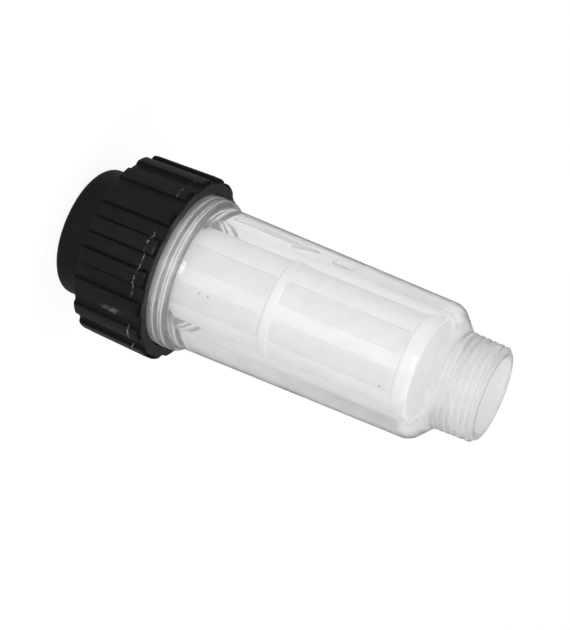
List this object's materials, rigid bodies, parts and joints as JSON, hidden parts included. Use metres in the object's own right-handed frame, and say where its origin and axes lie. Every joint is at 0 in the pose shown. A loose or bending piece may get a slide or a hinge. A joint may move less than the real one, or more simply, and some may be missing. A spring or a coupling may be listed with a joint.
{
  "type": "inline water filter",
  "caption": "Inline water filter: clear screwed bowl with a threaded outlet neck, ribbed black inlet cap and a white mesh strainer inside",
  "frame": {"origin": "centre of the flat end of the inlet collar, which is what the filter stands on", "axes": "+Z along the filter's axis from the inlet cap to the outlet neck; -Y is the side that the picture shows"},
  "size_m": [0.0518, 0.052, 0.1216],
  "materials": {
    "black_moulding": "black glass-filled moulding with a fine satin grain",
    "washer_rubber": "dark grey rubber",
    "white_moulding": "white satin moulding",
    "strainer_mesh": "fine woven nylon mesh",
    "seal_rubber": "black rubber",
    "clear_moulding": "clear glossy moulding"
  },
  "bodies": {
    "cap": {"screw_cap": "black_moulding", "inlet_washer": "washer_rubber"},
    "cartridge": {"filter_cage": "white_moulding", "mesh_sleeve": "strainer_mesh", "cap_seal": "seal_rubber"},
    "bowl": {"housing": "clear_moulding"}
  },
  "joints": [
    {"name": "bowl_lift", "type": "slide", "parent": "cap", "child": "cartridge", "axis": [0, 0, 1], "range_m": [0, 0.01]},
    {"name": "bowl_turn", "type": "hinge", "parent": "cartridge", "child": "bowl", "pos_m": [0, 0, 0.024], "axis": [0, 0, 1], "range_deg": [0, 1800]}
  ],
  "couplings": [
    {"joint": "bowl_lift", "follows": "bowl_turn", "m_per_rad": 0.0003183}
  ]
}
